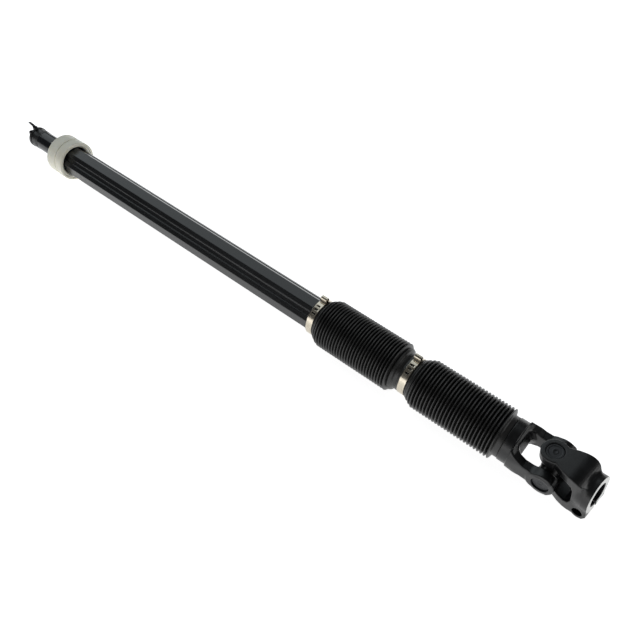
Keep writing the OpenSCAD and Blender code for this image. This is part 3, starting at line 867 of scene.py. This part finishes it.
# %% [markdown]
# ## The clamp yoke
# Its ears stand above and below, turned a quarter from the inner yoke's. Each ear
# widens into a flat plate, the plates meet in a web across the fork, and a round end
# takes the splined shaft. A lug under it is bored for the pinch bolt, and a slot runs
# through lug and end so that the bolt can squeeze them.

# %% Clamp yoke
YOKE_LEN, FORK, LUG, BOLT_X, BOLT_Z = 49.0, 31.0, 18.0, 40.0, 18.6


def clamp_yoke_distance(x, y, z):
    """Plates, round end and lug joined; then the fork's mouth, bores, bolt hole and slot cut."""
    plan = outline(
        x, np.abs(y),
        [
            (-1, -40), (-1, 10), (10, 12.6), (17, 15.6), (24, 17.4), (30, 18.2), (35, 18.2), (38.5, 17),
            (41.5, 14), (43.5, 10), (43.5, -40)
        ]
    )
    plan = ease_min(plan, rod(x, y, EAR_R), 0.8)
    high = outline(
        x, np.abs(z),
        [(-20, -40), (-20, EAR_OUT)] + [
            (u, EAR_OUT - 0.00085 * (u - 21) ** 3) for u in range(21, 46, 2)
        ] + [(45, -40)]
    )
    body = ease_max(plan, high, 1.6)
    radius = np.sqrt(y * y + z * z)
    end = outline(
        x, radius,
        [
            (FORK, -40), (FORK, 15), (YOKE_LEN - 12, 19), (YOKE_LEN - 7, 20.5), (YOKE_LEN, 20.5),
            (YOKE_LEN, -40)
        ]
    )
    lug = outline(
        x, z,
        [
            (FORK, -6), (FORK, -23), (BOLT_X - 2, -26.9), (BOLT_X + 1, -27.2), (BOLT_X + 5.5, -25.6),
            (BOLT_X + 8.6, -20.5), (YOKE_LEN - 0.7, -13), (YOKE_LEN - 0.7, -6)
        ]
    )
    lug = ease_max(lug, np.abs(y) - LUG, 0.9)
    body = ease_min(ease_min(body, end, 3.5), lug, 1.2)
    mouth = outline(
        x, np.abs(z),
        [
            (-40, -40), (-40, EAR_IN), (FORK - 7, EAR_IN), (FORK - 2.2, EAR_IN - 2.2), (FORK, EAR_IN - 7),
            (FORK, -40)
        ]
    )
    body = ease_max(body, -mouth, 1.2)
    body = ease_max(body, x - YOKE_LEN, 0.7)
    body = ease_max(body, -rod(x, y, CUP_R + 0.03), 0.5)
    body = ease_max(body, -ease_max(radius - 13.35, FORK - 6 - x, 0.2), 0.5)
    body = ease_max(body, -rod(x - BOLT_X, z + BOLT_Z, 5.25), 0.6)
    slot = ease_max(ease_max(np.abs(y) - 1.5, FORK - 8 - x, 0.3), z + 8, 0.3)
    return ease_max(body, -slot, 0.5)


def in_yoke_frame(points):
    """Yoke frame to row frame: turn by -YAW about Z, then by -PITCH about Y, then go to the cross."""
    turn = Matrix.Rotation(-PITCH, 3, "Y") @ Matrix.Rotation(-YAW, 3, "Z")
    return points @ np.array(turn).T + [CROSS, 0, 0]


def from_row_frame(points):
    """The same turn undone."""
    turn = Matrix.Rotation(-PITCH, 3, "Y") @ Matrix.Rotation(-YAW, 3, "Z")
    return (points - [CROSS, 0, 0]) @ np.array(turn)


def yoke_finish(centres, normals):
    """The end face is turned bare, bores are cut, the rest is forged."""
    x, y, z = from_row_frame(centres).T
    bare = (x > YOKE_LEN - 0.35) & (np.hypot(y, z) < 20.6)
    cut = (np.hypot(x, y) < CUP_R + 0.2) & (np.abs(z) > 14)
    return np.where(bare, 2, np.where(cut, 1, 0))


points, quads = skin(clamp_yoke_distance, (-15, -21.5, -28.5), (50.8, 21.5, 27.5), 0.52)
make_piece(
    "clamp_yoke_forging", in_yoke_frame(points), quads, [forging_coat, cup_steel, cut_steel],
    "clamp_yoke", node="clamp_yoke", slot="forging", finish_of=yoke_finish, sharp=75
)

# the spline: 36 teeth inside the round end, broached right through, open at the slot
teeth = 36
step = np.arange(teeth * 8) / 8
height = 12.2 + 0.9 * np.clip(0.5 - 1.1 * np.cos(2 * np.pi * step), 0, 1)
angle = np.radians(-90) + 2 * np.pi * step / teeth
keep = np.abs(((angle + np.pi / 2 + np.pi) % (2 * np.pi)) - np.pi) > 0.13
inner = np.stack([height * np.cos(angle), height * np.sin(angle)], -1)[keep]
outer = np.stack([13.5 * np.cos(angle), 13.5 * np.sin(angle)], -1)[keep][::-1]
section = np.concatenate([inner, outer])
sleeve = swept([section, section, section], [FORK - 1.6, FORK + 4, YOKE_LEN - 0.5])
sleeve = np.concatenate([sleeve, swept([np.concatenate([inner * 1.04, outer])], [YOKE_LEN - 0.35])])
n_inner = len(inner)
caps = []
for row in (0, 3):
    base = row * len(section)
    i = np.arange(n_inner - 1)
    caps.append(
        np.stack([base + i, base + i + 1, base + len(section) - 2 - i, base + len(section) - 1 - i], -1)
    )
faces = np.concatenate([grid_faces(4, len(section), close_rows=False)] + caps)
make_piece(
    "clamp_yoke_spline", in_yoke_frame(sleeve.reshape(-1, 3)), faces, [cup_steel], "clamp_yoke",
    slot="forging", sharp=30
)

# %% [markdown]
# ## Bearing cups, cross, seals and needles
# The cups are deep drawn and pressed in just below the ear faces, with a dished
# centre. Punch marks round the rim would hold real ones in, and none are drawn here.
# The cross is another forging with ground trunnions, and a rubber seal sits at the
# root of each.

# %% Cups
def cup_profile():
    """Half section of a deep drawn cup: a thin wall, a rounded rim and a dished floor."""
    inner = 6.2 + 2 + 0.09
    return soften(
        [
            (EAR_IN, inner), (EAR_IN, CUP_R), (CUP_END, CUP_R), (CUP_END, 6.9), (CUP_END - 0.3, 6.3),
            (CUP_END - 0.3, 3.2), (CUP_END + 0.0, 2.5), (CUP_END - 0.7, 1.3), (CUP_END - 0.8, 0),
            (CUP_END - 1.9, 0), (CUP_END - 1.9, inner)
        ],
        [0.3, 0.3, 1.9, 0.3, 0.3, 0.4, 0.3, 0.4, 0, 0, 0.3],
    )


def turned_about(axis, profile, side, around=72):
    """A profile of (distance, radius) turned about Y or Z, on one side of the joint."""
    points = turned(profile, around)
    along, u, v = points[..., 0] * side, points[..., 1], points[..., 2] * side
    return np.stack([u, along, v], -1) if axis == "y" else np.stack([u, -v, along], -1)


def pair(name, axis, profile, finish, body, node, slot, frame_of):
    """Two cups on one axis of the cross, as one piece."""
    both = np.concatenate([turned_about(axis, profile, s).reshape(-1, 3) for s in (-1, 1)])
    one = grid_faces(len(profile), 72)
    make_piece(
        name, frame_of(both), np.concatenate([one, one + len(profile) * 72]), [finish], body, node=node,
        slot=slot
    )


pair(
    "inner_yoke_bearing_cups", "y", cup_profile(), cup_steel, "lower_shaft", "inner_yoke_cups",
    "bearing_steel", lambda p: p + [CROSS, 0, 0]
)
pair(
    "clamp_yoke_bearing_cups", "z", cup_profile(), cup_steel, "clamp_yoke", "clamp_yoke_cups",
    "bearing_steel", in_yoke_frame
)


# %% [markdown]
# The cross is the one part that both yokes turn on. It is forged as a plus sign with
# heavy roots, and only its four trunnions are ground, so two pairs of stepped rods
# with a generous fillet between them give its shape.

# %% Cross
def cross_distance(x, y, z):
    """Two rods at right angles, thick near the middle, thin where the needles run."""
    def arm(u, v, w):
        thick = ease_max(rod(u, v, 9.2), np.abs(w) - 13.2, 0.8)
        return ease_min(thick, ease_max(rod(u, v, 6.2), np.abs(w) - 22.8, 0.6), 0.8)
    return ease_min(arm(x, z, y), arm(x, y, z), 5.0)


def in_cross_frame(points):
    """Cross frame to row frame: turn by -PITCH about Y, then go to the cross."""
    return points @ np.array(Matrix.Rotation(-PITCH, 3, "Y")).T + [CROSS, 0, 0]


points, quads = skin(cross_distance, (-11, -24, -24), (11, 24, 24), 0.6)
make_piece(
    "cross_forging", in_cross_frame(points), quads, [forging_coat], "cross", node="cross_spider",
    slot="forging", sharp=75
)

# %% [markdown]
# ## Parts that keep their CAD shape
# Liner, collar, bush, keyed shaft, needles and seals are hidden or nearly so, and
# their CAD shapes are already exact. They only need the finish of what they are.

# %% CAD parts that keep their shape
inside_parts = {
    "tube_collar": black_plastic,
    "tube_liner": liner_acetal,
    "guide_bush": liner_acetal,
    "sliding_shaft": ground_steel,
    "inner_yoke_needles": ground_steel,
    "clamp_yoke_needles": ground_steel,
    "cross_seals": bellows_rubber,
}
for node, finish in inside_parts.items():
    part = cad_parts[node]
    part.data.materials.clear()
    part.data.materials.append(finish)
print("CAD parts with new finishes:", len(inside_parts))

# %% [markdown]
# ## Floor, light and camera
# The shaft lies on an opal light table, which gives a plain pale floor with almost no
# shadow and lights the undersides. A broad soft light above and behind is what the
# upper flats reflect, and weaker ones stand at the sides. The room is dim, so that
# faces turned to the viewer stay black.

# %% Floor and lights
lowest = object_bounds()[0][2]
floor_mesh = bpy.data.meshes.new("floor")
floor_mesh.from_pydata([(-6, -6, 0), (6, -6, 0), (6, 6, 0), (-6, 6, 0)], [], [(0, 1, 2, 3)])
floor = bpy.data.objects.new("floor", floor_mesh)
floor.location = (0.4, 0, lowest - 0.0005)
bpy.context.collection.objects.link(floor)
light_table, tree, shader, place = blank("opal light table", Roughness=0.9)
shader.inputs["Base Color"].default_value = light("#f0f0f0")
shader.inputs["Emission Color"].default_value = light("#ffffff")
shader.inputs["Emission Strength"].default_value = 0.9
floor_mesh.materials.append(light_table)

look_at = Vector((0.4585, -0.85 * 0.0029, -0.528 * 0.0029))


def soft_light(name, place, size, power, tint="#ffffff"):
    """A rectangle of even light that faces the middle of the shaft."""
    data = bpy.data.lights.new(name, "AREA")
    data.shape, data.size, data.size_y, data.energy = "RECTANGLE", size[0], size[1], power
    data.color = light(tint)[:3]
    lamp = bpy.data.objects.new(name, data)
    lamp.location = place
    lamp.rotation_euler = (Vector(place) - look_at).to_track_quat("Z", "Y").to_euler()
    bpy.context.collection.objects.link(lamp)


soft_light("back_left_softbox", (-0.57, 0.66, 1.03), (2.3, 1.6), 12, "#f2fbff")
soft_light("low_front_softbox", (0.4, -1.5, 0.25), (2.4, 0.6), 8)
soft_light("right_softbox", (2.1, 0.5, 0.6), (1.0, 0.8), 6)
room = bpy.data.worlds.new("room")
bpy.context.scene.world = room
room.use_nodes = True
room.node_tree.nodes["Background"].inputs[0].default_value = light("#ffffff")
room.node_tree.nodes["Background"].inputs[1].default_value = 0.08
bpy.context.scene.view_settings.view_transform = "Standard"

# %% [markdown]
# The camera looks down on the shaft from the joint's end, close enough that the joint
# is drawn larger than the far end.

# %% Camera
azimuth, elevation = math.radians(39.5), math.radians(51.2)
level = math.cos(elevation)
back = Vector((math.sin(azimuth) * level, -math.cos(azimuth) * level, math.sin(elevation)))
lens = bpy.data.cameras.new("camera")
lens.lens, lens.sensor_width = 39.375, 36
camera = bpy.data.objects.new("camera", lens)
camera.location = look_at + back * 0.805
camera.rotation_euler = back.to_track_quat("Z", "Y").to_euler()
bpy.context.collection.objects.link(camera)
bpy.context.scene.camera = camera
print("camera at", tuple(round(c, 3) for c in camera.location))
